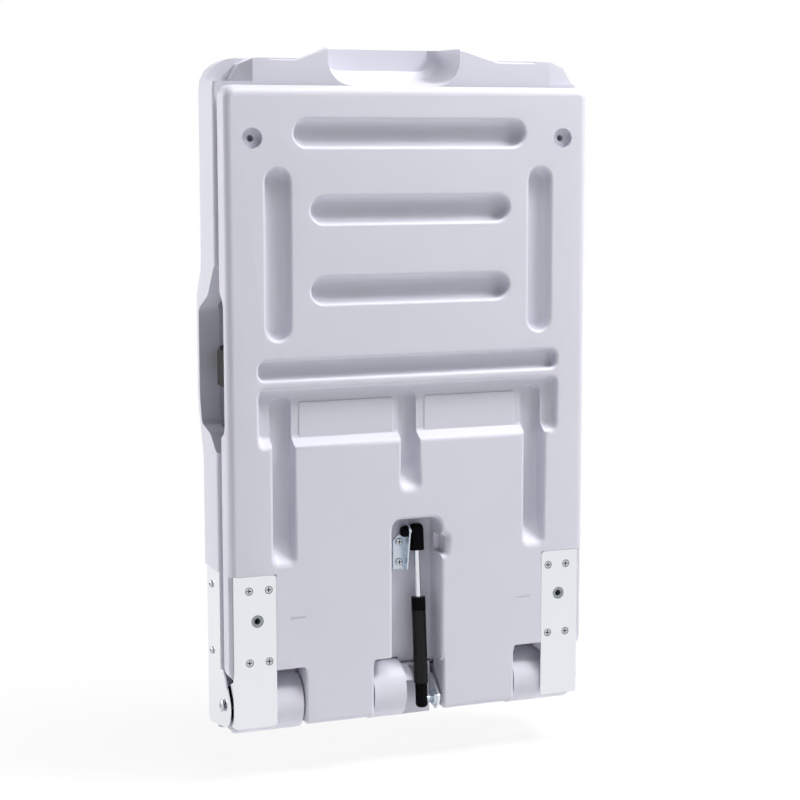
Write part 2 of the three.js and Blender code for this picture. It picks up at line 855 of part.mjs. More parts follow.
function makeRearPlate() {
  const outline = roundedShape([
    [plateInnerEdge, plateFoot],
    [halfBed + panelDepth, plateFoot],
    [halfBed + panelDepth, plateTop],
    [plateInnerEdge, plateTop],
  ], plateRadius);
  const sheet = columnOfOutline(plateSection(), plateFoot, plateTop);
  const trimmed = sheet.intersect(slabOfOutline(outline, -panelDepth, overrun));
  return cutBy(trimmed.add(barOfProfile(earProfile(), plateSideInner, plateOuter)), [
    ...plateScrewPlaces().map(([x, z]) => sunkSeat().rotate([-90, 0, 0]).translate([x, -seatGap, z])),
    barX(pivotHoleRadius, plateSideInner - overrun, plateOuter + overrun, hingeY, hingeZ),
    barY(bushRadius + seatGap, -panelDepth, overrun, holeX, lowerHoleZ),
  ]);
}

sides.forEach(([side, sign]) => {
  addPiece(`hinge_plate_${side}`, onSide(makeRearPlate(), sign), polishedSteel);
  plateScrewPlaces().forEach(([x, z], i) => {
    const placed = sunkScrew().rotate([-90, 0, 0]).translate([x, -seatGap, z]);
    addPiece(`plate_screw_${side}_${i + 1}`, onSide(placed, sign), zincSteel);
  });
  const tube = barY(bushRadius, -panelDepth + seatGap, -seatGap, holeX, lowerHoleZ);
  const bore = barY(wallScrewRadius, -panelDepth - overrun, overrun, holeX, lowerHoleZ);
  addPiece(`fixing_bush_${side}`, onSide(tube.subtract(bore), sign), greyNylon);
});

// Hinge rod, with a bore in each end for the pivot screw
function makeRod() {
  const end = drumOuter - seatGap;
  const boreFoot = sidePlateOuter - pivotShankLength - pivotBoreGap;
  const bore = barX(pivotShankRadius + seatGap, boreFoot, end + overrun, hingeY, hingeZ, 2 * smallSides);
  return cutBy(barX(rodRadius, -end, end, hingeY, hingeZ, 2 * smallSides), bothSides(bore));
}

addPiece('hinge_rod', makeRod(), zincSteel);

function makePivotScrew() {
  return cutBy(turned([
    [0, -pivotShankLength],
    [pivotShankRadius, -pivotShankLength],
    [pivotShankRadius, 0],
    [pivotHeadRadius, 0],
    ...pivotHeadShares.map(([wide, high]) => [wide * pivotHeadRadius, high * pivotHeadHeight]),
    [0, pivotHeadHeight],
  ]), crossRecess(pivotHeadHeight));
}

sides.forEach(([side, sign]) => {
  const bush = barX(pivotShankRadius + pivotBushWall, drumOuter, sidePlateOuter, hingeY, hingeZ);
  const bore = barX(pivotShankRadius + seatGap, 0, halfBed + overrun, hingeY, hingeZ);
  addPiece(`pivot_bush_${side}`, onSide(bush.subtract(bore), sign), greyNylon);
  const placed = makePivotScrew().rotate([0, 90, 0]).translate([sidePlateOuter + seatGap, hingeY, hingeZ]);
  addPiece(`pivot_screw_${side}`, onSide(placed, sign), zincSteel);
});

// How far an edge rounded by radius draws in at a distance from its end
function arch(distance, radius) {
  const rest = Math.max(0, radius - distance);
  return radius - Math.sqrt(radius * radius - rest * rest);
}

function bellyPlaces() {
  return bellyShares.map((share) => bedTop - share * bedHeight);
}

function bellyAt(z) {
  const [start, full, fullEnd, end] = bellyPlaces();
  const rising = THREE.MathUtils.smoothstep(start - z, 0, start - full);
  const falling = THREE.MathUtils.smoothstep(fullEnd - z, 0, fullEnd - end);
  return bellyRise * (rising - falling);
}

function bellyLevels() {
  const [start, full, fullEnd, end] = bellyPlaces();
  return [[start, full], [fullEnd, end]].flatMap(([from, to]) => {
    const levels = [];
    for (let step = 0; step <= arcSteps; step += 1) levels.push(from + (to - from) * step / arcSteps);
    return levels;
  });
}

// Levels that crowd towards both ends, where the outline draws in
function endLevels(low, high, lowRadius, highRadius) {
  const levels = [];
  for (let step = 0; step <= arcSteps; step += 1) {
    const share = 1 - Math.cos(step / arcSteps * Math.PI / 2);
    levels.push(low + lowRadius * share, high - highRadius * share);
  }
  return levels;
}

function sortedLevels(levels) {
  const ordered = [...levels].sort((a, b) => a - b);
  return ordered.filter((z, i) => i === 0 || z - ordered[i - 1] > seatGap);
}

// The rear of the bed: the drum about the hinge axis below, a flat rim above
function bedRearAt(z) {
  const drum = hingeY + Math.sqrt(Math.max(0, drumRadius ** 2 - (z - hingeZ) ** 2));
  if (z < hingeZ) return drum;
  return Math.max(drum, bedRear - arch(bedTop - z, bedTopRearRadius));
}

function makeBedForm() {
  const levels = sortedLevels([
    ...endLevels(bedFoot, hingeZ + drumRadius, drumRadius, drumRadius),
    ...endLevels(bedFoot, bedTop, bedFootCornerRadius, bedCornerRadius),
    ...bellyLevels(),
  ]);
  return skinned(levels.map((z) => {
    const fromTop = bedTop - z;
    const fromFoot = z - bedFoot;
    const half = halfBed - arch(fromTop, bedCornerRadius) - arch(fromFoot, bedFootCornerRadius);
    const high = bedRearAt(z);
    const round = arch(fromTop, bedTopFrontRadius) + arch(fromFoot, bedFootRadius);
    const low = bedFront - bellyAt(z) + round;
    const edge = Math.min(bedEdgeRadius, (high - low) / 2 - seatGap);
    return roundedPairs(half, low, high, edge, Math.min(bedRearEdgeRadius, edge)).map(([x, y]) => [x, y, z]);
  }));
}

function makeTrayHollow() {
  const foot = bedFoot + trayFootRise;
  const top = bedTop - trayTopGap;
  const levels = sortedLevels([
    ...endLevels(foot, top, trayCornerRadius, trayCornerRadius),
    ...bellyLevels(),
  ]);
  return skinned(levels.map((z) => {
    const half = halfBed - bedRimWidth - arch(top - z, trayCornerRadius) - arch(z - foot, trayCornerRadius);
    const round = arch(top - z, trayFillet) + arch(z - foot, trayFillet);
    const low = bedFront + bedFloor - bellyAt(z) + round;
    return roundedPairs(half, low, bedRear + overrun, trayFillet, seatGap).map(([x, y]) => [x, y, z]);
  }));
}

// The room that a knuckle of the panel sweeps round the axis, within reach of it
function sweptProfile(reach) {
  const far = hingeSetOut + overrun;
  const shape = new THREE.Shape();
  shape.moveTo(hingeY - reach, hingeZ - far);
  shape.lineTo(hingeY - reach, hingeZ);
  shape.absarc(hingeY, hingeZ, reach, Math.PI, Math.PI / 2, true);
  shape.lineTo(hingeY, hingeZ + far);
  shape.lineTo(overrun, hingeZ + far);
  shape.lineTo(overrun, hingeZ - far);
  shape.closePath();
  return shape;
}

// The sloping end of the crown on the +X side, from the outer edge of its ear
function crownEnd(outer, reach, setIn) {
  const root = bedTop - crownRoot;
  const front = bedFront + crownSetIn;
  const earTop = bedTop - earDrop;
  const corners = [[-crownEndOverlap, 0, 0], [0, 0, 0]];
  const [middleShare, dropShare] = crownEndShares;
  corners.push([middleShare * reach, middleShare * setIn, dropShare * crownEndDrop]);
  corners.push([reach, setIn, crownEndDrop]);
  return solid(new ConvexGeometry(corners.flatMap(([along, back, drop]) => [
    [outer + along, bedRear - back, root],
    [outer + along, bedRear - back, earTop - drop],
    [outer + along, front + bedEdgeRadius, root],
    [outer + along, front + bedEdgeRadius, earTop - drop],
  ]).map(([x, y, z]) => new THREE.Vector3(x, y, z))));
}

// The crown: an ear on either side of the grip, each rising to a peak beside it
function makeCrown() {
  const [peak, farPeak] = [1, -1].map((sign) => gripShift + sign * (gripHalfWidth + crownPeakWidth));
  const [outer, farOuter] = crownInsets.map((inset) => halfBed - inset);
  const top = bedTop + crownRise;
  const earTop = bedTop - earDrop;
  const root = bedTop - crownRoot;
  const outline = new THREE.Shape([
    [-farOuter, root],
    [outer, root],
    [outer, earTop],
    [peak + crownSlopeWidths[0], earTop],
    [peak, top],
    [farPeak, top],
    [farPeak - crownSlopeWidths[1], earTop],
    [-farOuter, earTop],
  ].map(([x, z]) => new THREE.Vector2(x, z)));
  return joined([
    slabOfOutline(outline, bedFront + crownSetIn, bedRear, crownEdge),
    crownEnd(outer, crownEndReaches[0], crownEndSetIns[0]),
    onSide(crownEnd(farOuter, crownEndReaches[1], crownEndSetIns[1]), -1),
  ]);
}

function makeGrip() {
  const wall = bedFront + gripWall;
  const foot = bedTop + crownRise - gripDrop;
  const taper = (y) => gripDraft * (y - bedRear) / (bedRear - wall);
  const sections = [[bedRear + overrun, 0], [wall + pocketFillet, 0], [wall, -pocketFillet]];
  return loftedBlock(
    gripShift - gripHalfWidth,
    gripShift + gripHalfWidth,
    foot,
    bedTop + crownRise + 2 * crownRoot,
    gripRadius + gripDraft,
    sections.map(([y, grow]) => [y, grow + taper(y)]),
  );
}

// The lowered side of the bed: its floor runs a lip above the floor of the tray
function scoopProfile() {
  const top = bedTop - scoopTopShare * bedHeight;
  const foot = top - scoopHeight;
  const deepAt = (z) => bedFront - bellyAt(z) + bedFloor + scoopLip;
  const midAt = (z) => bedRear + (deepAt(z) - bedRear) * scoopRampDepthShare;
  const floorLevels = [0, 1, 2, 3, 4].map((step) => top - step / 4 * scoopHeight);
  return roundedShape([
    [overrun, top + scoopRampHeight],
    [bedRear, top + scoopRampHeight],
    [midAt(top), top + scoopRampHeight / 3],
    ...floorLevels.map((z) => [deepAt(z), z]),
    [midAt(foot), foot - scoopRadius],
    [bedRear, foot - scoopRampHeight / 2],
    [overrun, foot - scoopRampHeight / 2],
  ], scoopRadius);
}

// The outline of a bed side plate: a strip whose lower end is rounded about the hinge axis behind
function sidePlateProfile(grow, lead = 0) {
  const rear = bedRear - sidePlateRearGap + grow;
  const front = bedFront + sidePlateFrontSetIn - grow - lead;
  const foot = bedFoot - grow - lead;
  const top = hingeZ + sidePlateTopRise + grow;
  const radius = discRadius + grow;
  const tangentTo = (y, z, turn) => {
    const reach = Math.hypot(y - hingeY, z - hingeZ);
    return Math.atan2(z - hingeZ, y - hingeY) + turn * Math.acos(radius / reach);
  };
  const start = 2 * Math.PI + tangentTo(front + sidePlateFootRadius, foot, 1);
  const end = 2 * Math.PI + tangentTo(rear, hingeZ + sidePlateShoulderRise, -1);
  const shape = new THREE.Shape();
  shape.moveTo(rear, top);
  shape.lineTo(front, top);
  shape.lineTo(front, foot + sidePlateFootRadius);
  shape.quadraticCurveTo(front, foot, front + sidePlateFootRadius, foot);
  shape.absarc(hingeY, hingeZ, radius, start, end, false);
  shape.lineTo(rear, hingeZ + sidePlateShoulderRise);
  shape.closePath();
  return shape;
}

function sideScrewPlaces() {
  return sideScrewRises.map((rise) => [bedFront + sidePlateFrontSetIn + sideScrewSetIn, hingeZ + rise]);
}

// Room for the strut behind the hub that carries its bracket
function hubRoom() {
  const far = hingeSetOut + overrun;
  const shape = new THREE.Shape();
  shape.moveTo(strutSeatY, hingeZ - far);
  shape.lineTo(strutSeatY, hingeZ + hubRise);
  shape.absarc(hingeY, hingeZ, hubRadius, Math.asin(hubRise / hubRadius), Math.PI / 2, false);
  shape.lineTo(hingeY, hingeZ + far);
  shape.lineTo(overrun, hingeZ + far);
  shape.lineTo(overrun, hingeZ - far);
  shape.closePath();
  return shape;
}

function hangerScrewPlaces() {
  return hangerScrewTurns.map((turn) => {
    const angle = THREE.MathUtils.degToRad(turn);
    return [hingeY + hangerScrewReach * Math.cos(angle), hingeZ + hangerScrewReach * Math.sin(angle)];
  });
}

function screwBoreX(xLow, xHigh, y, z) {
  return barX(smallScrewRadius + seatGap, xLow, xHigh, y, z, smallSides);
}

// The step in the +X upper corner, behind the end of the crown
function cornerStep() {
  return box(
    halfBed - cornerStepWidth,
    halfBed + overrun,
    bedRear - cornerStepDepth,
    overrun,
    panelTop + cornerStepRise,
    bedTop + overrun,
  );
}

function makeBed() {
  const sweptLobe = sweptProfile(lobeRadius + knuckleSweepGap);
  const sweptEar = sweptProfile(plateFootDrop + knuckleSweepGap);
  const bossReach = channelWall + channelRim + 2 * runningGap;
  const scoopInner = halfBed - bedRimWidth - trayFillet;
  const bossRear = -channelDepth - channelWall - 2 * runningGap;
  const tubeSide = strutX + strutTubeRadius + runningGap;
  const apronReach = wideLobeInnerEdge + channelWall + 2 * runningGap;
  const screwFoot = sidePlateOuter - smallScrewLength;
  return cutBy(cutBy(makeBedForm(), bothSides(cornerStep())).add(makeCrown()), [
    makeTrayHollow(),
    makeGrip(),
    ...bothSides(barOfProfile(scoopProfile(), scoopInner, halfBed + overrun)),
    barOfProfile(sweptLobe, narrowLobeInnerEdge - runningGap, lobeOuterEdge + runningGap),
    barOfProfile(sweptLobe, -lobeOuterEdge - runningGap, hubEnd),
    barOfProfile(hubRoom(), hubEnd - overrun, middleDrumEdge),
    box(hubEnd - overrun, tubeSide, strutSeatY, overrun, hingeZ, hubTop + overrun),
    box(-apronReach, middleDrumEdge, bossRear, overrun, hubTop, hubTop + drumRadius),
    ...bothSides(barOfProfile(sweptEar, drumOuter, halfBed + overrun)),
    ...bothSides(barOfProfile(
      sidePlateProfile(seatGap, overrun),
      sidePlateInner - seatGap,
      halfBed + overrun,
    )),
    barX(rodRadius + seatGap, -halfBed, halfBed, hingeY, hingeZ, 2 * smallSides),
    box(
      -channelWideEdge - bossReach,
      channelNarrowEdge + bossReach,
      bossRear,
      overrun,
      hingeZ + drumRadius,
      bedFoot + trayFootRise + trayCornerRadius,
    ),
    ...sideScrewPlaces().flatMap(([y, z]) => bothSides(screwBoreX(screwFoot, halfBed, y, z))),
    ...bothSides(screwBoreY(trayFloorY - anchorScrewLength, trayFloorY + overrun, anchorX, strapZ)),
    ...hangerScrewPlaces().map(([y, z]) => screwBoreX(hubEnd - overrun, hubEnd + smallScrewLength, y, z)),
  ]);
}

addPiece('bed', makeBed(), moulding);

function makeSidePlate() {
  const low = sidePlateInner - overrun;
  const high = sidePlateOuter + overrun;
  return cutBy(barOfProfile(sidePlateProfile(0), sidePlateInner, sidePlateOuter), [
    barX(pivotHoleRadius, low, high, hingeY, hingeZ),
    ...sideScrewPlaces().map(([y, z]) => screwBoreX(low, high, y, z)),
  ]);
}

sides.forEach(([side, sign]) => {
  addPiece(`bed_side_plate_${side}`, onSide(makeSidePlate(), sign), polishedSteel);
  sideScrewPlaces().forEach(([y, z], i) => {
    const placed = panScrew(smallScrewLength).rotate([0, 90, 0]).translate([sidePlateOuter + seatGap, y, z]);
    addPiece(`side_screw_${side}_${i + 1}`, onSide(placed, sign), zincSteel);
  });
});

// Gas strut, made hanging straight down from its upper ball and then leant back
const strut = new THREE.Group();
strut.position.set(strutX, upperBallY, upperBallZ);
strut.rotation.x = strutLean;
station.add(strut);

// A socket round a ball at the origin, its mouth towards the side of sign, its neck towards +Z
function ballSocket(radius, reach, corner, neck, sign) {
  const foot = [];
  for (let step = 0; step <= edgeSteps; step += 1) {
    const angle = step / edgeSteps * Math.PI / 2;
    foot.push([radius - corner + corner * Math.sin(angle), corner - reach - corner * Math.cos(angle)]);
  }
  const body = turned([[0, -reach], ...foot, [radius, neck], [0, neck]]);
  const cave = solid(new THREE.SphereGeometry(ballRadius + ballPlay, ballSides, ballSides / 2));
  const mouth = barX(ballRadius + ballPlay, 0, radius + overrun, 0, 0, ballSides);
  return cutBy(body, [cave, onSide(mouth, sign)]);
}

const rodTop = upperSocketRadius - upperSocketLength;
const rodFoot = -strutTubeStart - pistonDrop;
const tubeInner = strutTubeRadius - strutTubeWall;

function makeUpperSocket() {
  const socket = ballSocket(upperSocketRadius, upperSocketRadius, upperSocketCorner, -rodTop, 1);
  const bore = roundBar(strutRodRadius + seatGap, rodTop - overrun, rodTop + rodSeat);
  return socket.rotate([180, 0, 0]).subtract(bore);
}

function makeTube() {
  const outer = roundBar(strutTubeRadius, -strutTubeEnd, -strutTubeStart - guideLength / 2);
  return outer.subtract(roundBar(tubeInner, -strutTubeEnd - overrun, -strutTubeStart));
}

function makeGuide() {
  const split = seatGap - strutTubeStart - guideLength / 2;
  const body = turned([
    [0, -strutTubeStart - guideLength],
    [tubeInner - seatGap, -strutTubeStart - guideLength],
    [tubeInner - seatGap, split],
    [strutTubeRadius, split],
    [strutTubeRadius, -strutTubeStart],
    [0, -strutTubeStart],
  ]);
  return body.subtract(roundBar(strutRodRadius + seatGap, -strutTubeEnd, 0));
}

function makeLowerSocket() {
  const neck = strutLength - strutTubeEnd - seatGap;
  const plug = roundBar(tubeInner - seatGap, -strutTubeEnd - plugOverlap, plugLength - strutTubeEnd);
  const socket = ballSocket(lowerSocketRadius, lowerSocketReach, lowerSocketCorner, neck, -1);
  return socket.translate([0, 0, -strutLength]).add(plug);
}

addPiece('upper_socket', makeUpperSocket(), blackPlastic, strut);
addPiece('strut_rod', roundBar(strutRodRadius, rodFoot, rodTop + rodSeat - seatGap), polishedSteel, strut);
const piston = roundBar(tubeInner - seatGap, rodFoot - pistonLength - seatGap, rodFoot - seatGap);
addPiece('strut_piston', piston, greyNylon, strut);
addPiece('strut_tube', makeTube(), blackPaint, strut);
addPiece('strut_guide', makeGuide(), blackPlastic, strut);
addPiece('lower_socket', makeLowerSocket(), blackPlastic, strut);

// The lower ball on its stud, with a nut against the bracket
function makeLowerStud() {
  const reach = hangerOffset - hangerThickness - seatGap;
  return joined([
    solid(new THREE.SphereGeometry(ballRadius, ballSides, ballSides / 2)),
    barX(studRadius, -reach, 0, 0, 0, smallSides),
    barX(hangerNutRadius, -reach, hangerNutLength - reach, 0, 0, 6),
  ]);
}

addPiece('lower_ball_stud', makeLowerStud().translate([0, 0, -strutLength]), zincSteel, strut);

// Upper strut bracket on the floor of the channel, with a flange beside the ball
const flangeHigh = -bracketFlangeEdge;
const flangeLow = flangeHigh - bracketThickness;

function makeUpperBracket() {
  const floor = seatGap - channelDepth;
  const top = upperBallZ + bracketTopRise;
  const foot = upperBallZ - bracketFootDrop;
  const lugRadius = upperBallY - floor;
  const lean = Math.atan2(-bracketFootDrop, floor + bracketFlangeFoot - upperBallY);
  const reach = Math.hypot(bracketFootDrop, floor + bracketFlangeFoot - upperBallY);
  const outline = new THREE.Shape();
  outline.moveTo(flangeLow, foot);
  outline.lineTo(bracketOuterEdge, foot);
  outline.lineTo(bracketOuterEdge, top - bracketChamfer);
  outline.lineTo(bracketOuterEdge - bracketChamfer, top);
  outline.lineTo(flangeLow, top);
  outline.closePath();
  const lug = new THREE.Shape();
  lug.moveTo(floor, foot);
  lug.lineTo(floor + bracketFlangeFoot, foot);
  lug.absarc(upperBallY, upperBallZ, lugRadius, lean + Math.acos(lugRadius / reach), Math.PI, false);
  lug.closePath();
  const sheet = slabOfOutline(outline, floor, floor + bracketThickness);
  const shank = studRadius + seatGap;
  return cutBy(sheet.add(barOfProfile(lug, flangeLow, flangeHigh)), [
    barX(shank, flangeLow - overrun, flangeHigh + overrun, upperBallY, upperBallZ, ballSides),
    ...bracketScrewDrops.map((drop) => screwBoreY(
      -channelDepth - overrun,
      0,
      bracketScrewX,
      upperBallZ - drop,
    )),
  ]);
}

addPiece('strut_upper_bracket', makeUpperBracket(), zincSteel);

bracketScrewDrops.forEach((drop, i) => {
  const seat = bracketThickness + 2 * seatGap - channelDepth;
  const fastener = panScrew(channelWall + bracketThickness).rotate([-90, 0, 0]);
  addPiece(`bracket_screw_${i + 1}`, fastener.translate([bracketScrewX, seat, upperBallZ - drop]), zincSteel);
});

// The upper ball, its collar against the flange and its shank through it
function makeUpperStud() {
  const collarEnd = flangeLow - strutX - seatGap;
  return joined([
    solid(new THREE.SphereGeometry(ballRadius, ballSides, ballSides / 2)),
    barX(studRadius, 0, flangeHigh - strutX + studCapLength / 2, 0, 0, ballSides),
    barX(ballRadius, ballRadius, collarEnd, 0, 0, ballSides),
  ]);
}

function makeStudCap() {
  const body = turned([
    [0, 0],
    [studCapRadius, 0],
    ...studCapShares.map(([wide, high]) => [wide * studCapRadius, high * studCapLength]),
    [0, studCapLength],
  ]);
  const bore = roundBar(studRadius + seatGap, -overrun, studCapLength / 2 + seatGap, ballSides);
  return body.subtract(bore).rotate([0, 90, 0]).translate([flangeHigh + seatGap, upperBallY, upperBallZ]);
}

addPiece('upper_ball_stud', makeUpperStud().translate([strutX, upperBallY, upperBallZ]), zincSteel);
addPiece('upper_stud_cap', makeStudCap(), blackPlastic);

// Lower strut bracket: a flat lug screwed to the end of the bed's hub, round the hinge rod
function makeHanger() {
  const points = [];
  const lugY = lowerBallY - hangerLugSetBack;
  const lugZ = lowerBallZ - hangerLugDrop;
  for (let step = 0; step < wideSides; step += 1) {
    const angle = step / wideSides * 2 * Math.PI;
    const [across, up] = [Math.cos(angle), Math.sin(angle)];
    [hangerX, hangerX + hangerThickness].forEach((x) => points.push(
      new THREE.Vector3(x, hingeY + hangerRootRadius * across, hingeZ + hangerRootRadius * up),
      new THREE.Vector3(x, lugY + hangerLugRadius * across, lugZ + hangerLugRadius * up),
    ));
  }
  const room = barX(hangerReach, hangerX - overrun, hangerX + overrun, hingeY, hingeZ, wideSides);
  return cutBy(solid(new ConvexGeometry(points)).intersect(room), [
    barX(rodRadius + seatGap, hangerX - overrun, 0, hingeY, hingeZ, 2 * smallSides),
    ...hangerScrewPlaces().map(([y, z]) => (
      sunkSeat().rotate([0, -90, 0]).translate([hangerX + seatGap, y, z])
    )),
  ]);
}

addPiece('strut_lower_bracket', makeHanger(), polishedSteel);

hangerScrewPlaces().forEach(([y, z], i) => {
  const placed = sunkScrew().rotate([0, -90, 0]).translate([hangerX + seatGap, y, z]);
  addPiece(`hanger_screw_${i + 1}`, placed, zincSteel);
});

// Safety strap, unfastened: the socket half hangs out at the left, the tongue half lies in the tray
function ribbon(path) {
  const points = path.map(([x, y]) => new THREE.Vector2(x, y));
  const offsets = points.map((point, i) => {
    const before = points[Math.max(0, i - 1)];
    const after = points[Math.min(points.length - 1, i + 1)];
    const along = after.clone().sub(before).normalize();
    return new THREE.Vector2(-along.y, along.x).multiplyScalar(strapThickness / 2);
  });
  const near = points.map((point, i) => point.clone().add(offsets[i]));
  const far = points.map((point, i) => point.clone().sub(offsets[i])).reverse();
  const half = strapWidth / 2;
  return columnOfOutline(new THREE.Shape([...near, ...far]), strapZ - half, strapZ + half);
}

const webY = trayFloorY + seatGap + strapThickness / 2;
const webTop = webY + strapThickness / 2;
const anchorTop = webTop + seatGap + anchorThickness;
const webHole = screwBoreY(trayFloorY - overrun, anchorTop + overrun, anchorX, strapZ);

function makeAnchor() {
  const low = anchorX - anchorLength / 2;
  const high = anchorX + anchorLength / 2;
  const half = anchorWidth / 2;
  const anchorFoot = anchorTop - anchorThickness;
  return box(low, high, anchorFoot, anchorTop, strapZ - half, strapZ + half).subtract(webHole);
}

sides.forEach(([side, sign]) => {
  addPiece(`strap_anchor_${side}`, onSide(makeAnchor(), sign), blackPlastic);
  const fastener = panScrew(anchorScrewLength).rotate([-90, 0, 0]);
  const placed = fastener.translate([anchorX, anchorTop + seatGap, strapZ]);
  addPiece(`anchor_screw_${side}`, onSide(placed, sign), zincSteel);
});

const buckleFront = -cutoutSkin - runningGap - buckleLength;
const buckleX = halfBed - buckleSetIn - buckleThickness;
const buckleMiddle = buckleX + buckleThickness / 2;

function makeShortWeb() {
  const curb = halfBed - bedRimWidth;
  return ribbon([
    [anchorX - anchorLength / 2, webY],
    [anchorX + anchorLength / 2, webY],
    [curb - trayFillet / 2, webY + trayFillet / 3],
    [curb - runningGap, webY + trayFillet],
    [buckleX, webY + 2 * trayFillet],
    [buckleMiddle - runningGap, buckleFront - buckleThickness],
    [buckleMiddle, buckleFront + webSeat],
  ]).subtract(webHole);
}

function makeSocketHalf() {
  const half = buckleWidth / 2;
  const slitHalf = strapWidth / 2 + seatGap;
  const mouthHalf = half - plateRadius;
  const thin = tongueThickness / 2 + seatGap;
  const shape = roundedShape([
    [buckleFront, strapZ - half],
    [buckleFront, strapZ + half],
    [buckleFront + buckleLength, strapZ + half],
    [buckleFront + buckleLength, strapZ - half],
  ], plateRadius);
  const rear = buckleFront + buckleLength;
  const slitEnd = buckleFront + webSeat + runningGap;
  const slitLow = buckleMiddle - thin;
  const slitHigh = buckleMiddle + thin;
  const mouthLow = rear - buckleLength / 2;
  return cutBy(barOfProfile(shape, buckleX, buckleX + buckleThickness), [
    box(slitLow, slitHigh, mouthLow, rear + overrun, strapZ - mouthHalf, strapZ + mouthHalf),
    box(slitLow, slitHigh, buckleFront - overrun, slitEnd, strapZ - slitHalf, strapZ + slitHalf),
  ]);
}

function makeLongWeb() {
  const path = [[-anchorX - anchorLength / 2, webY], [-anchorX, webY], [longWebReach, webY]];
  return ribbon(path).subtract(onSide(webHole, -1));
}

function makeTongueHalf() {
  const face = trayFloorY + seatGap;
  const back = face + tongueThickness;
  const low = longWebReach - webSeat - seatGap;
  const shoulder = low + tongueLength / 2;
  const half = buckleWidth / 2;
  const arm = prongShare * buckleWidth;
  const edge = half - plateRadius / 2;
  const prong = (zLow) => box(shoulder - overrun, low + tongueLength, face, back, zLow, zLow + arm);
  const slitHalf = strapWidth / 2 + seatGap;
  return joined([
    box(low, shoulder, face, back, strapZ - half, strapZ + half),
    prong(strapZ - edge),
    prong(strapZ - arm / 2),
    prong(strapZ + edge - arm),
  ]).subtract(box(
    low - overrun,
    longWebReach + seatGap,
    face - overrun,
    webTop + seatGap,
    strapZ - slitHalf,
    strapZ + slitHalf,
  ));
}

addPiece('strap_web_left', makeShortWeb(), webbing);
addPiece('buckle_socket', makeSocketHalf(), blackPlastic);
addPiece('strap_web_right', makeLongWeb(), webbing);
addPiece('buckle_tongue', makeTongueHalf(), blackPlastic);

export default station;
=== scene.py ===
# Vertical baby changing station, folded up and seen from its wall side
import json
import math

import bmesh
import bpy
from mathutils import Matrix, Vector


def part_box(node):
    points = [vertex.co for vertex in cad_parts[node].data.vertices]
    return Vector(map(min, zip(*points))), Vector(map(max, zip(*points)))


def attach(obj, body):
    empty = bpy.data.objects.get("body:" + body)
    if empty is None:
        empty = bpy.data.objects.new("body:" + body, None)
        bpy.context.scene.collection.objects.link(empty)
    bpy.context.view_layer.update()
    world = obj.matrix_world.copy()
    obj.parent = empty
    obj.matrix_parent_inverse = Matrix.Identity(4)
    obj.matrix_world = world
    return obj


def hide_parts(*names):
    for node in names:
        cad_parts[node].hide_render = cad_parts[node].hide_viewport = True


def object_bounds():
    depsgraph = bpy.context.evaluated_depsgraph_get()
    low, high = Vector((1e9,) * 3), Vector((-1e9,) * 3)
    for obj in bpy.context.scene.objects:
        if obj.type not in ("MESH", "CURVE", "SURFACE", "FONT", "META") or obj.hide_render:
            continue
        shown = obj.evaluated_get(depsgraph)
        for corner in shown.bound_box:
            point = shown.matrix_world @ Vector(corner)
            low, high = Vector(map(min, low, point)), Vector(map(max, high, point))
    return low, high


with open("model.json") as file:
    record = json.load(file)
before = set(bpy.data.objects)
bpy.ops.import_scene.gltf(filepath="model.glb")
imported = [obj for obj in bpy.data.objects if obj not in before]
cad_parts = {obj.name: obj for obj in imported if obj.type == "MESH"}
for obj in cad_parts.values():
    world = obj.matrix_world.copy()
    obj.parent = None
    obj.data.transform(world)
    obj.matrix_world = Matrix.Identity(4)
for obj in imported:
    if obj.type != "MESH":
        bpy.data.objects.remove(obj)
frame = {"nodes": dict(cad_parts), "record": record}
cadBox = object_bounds()

mm = 0.001
bodies = frame["record"]["behaviour"]["bodies"]
bodyOf = {node: body for body, nodes in bodies.items() for node in nodes}


# Camera at the viewpoint of a photographer who stands behind the station, to its left
viewpoint = {
    "place": (0.8762, 2.184, 0.229),
    "right": (-0.9305, 0.3664, -0.0009),
    "up": (-0.05, -0.1245, 0.991),
    "lens": 86.32,
    "sensor": 36,
}


def makeCamera():
    lensData = bpy.data.cameras.new("camera")
    lensData.lens = viewpoint["lens"]
    lensData.sensor_width = viewpoint["sensor"]
    camera = bpy.data.objects.new("camera", lensData)
    right = Vector(viewpoint["right"]).normalized()
    up = Vector(viewpoint["up"]).normalized()
    back = right.cross(up).normalized()
    up = back.cross(right)
    turn = Matrix((right, up, back)).transposed().to_4x4()
    camera.matrix_world = Matrix.Translation(viewpoint["place"]) @ turn
    bpy.context.scene.collection.objects.link(camera)
    bpy.context.scene.camera = camera


def addNode(tree, kind, settings=None, links=None):
    # settings and links are keyed by input name or index; a link is an output socket
    node = tree.nodes.new(kind)
    for key, value in (settings or {}).items():
        if isinstance(key, str) and hasattr(node, key):
            setattr(node, key, value)
        else:
            node.inputs[key].default_value = value
    for key, socket in (links or {}).items():
        tree.links.new(socket, node.inputs[key])
    return node


def linear(code):
    # sRGB hex to the linear colour that Blender's sockets hold
    parts = [int(code[i:i + 2], 16) / 255 for i in (1, 3, 5)]
    return (*[c / 12.92 if c <= 0.04045 else ((c + 0.055) / 1.055) ** 2.4 for c in parts], 1)


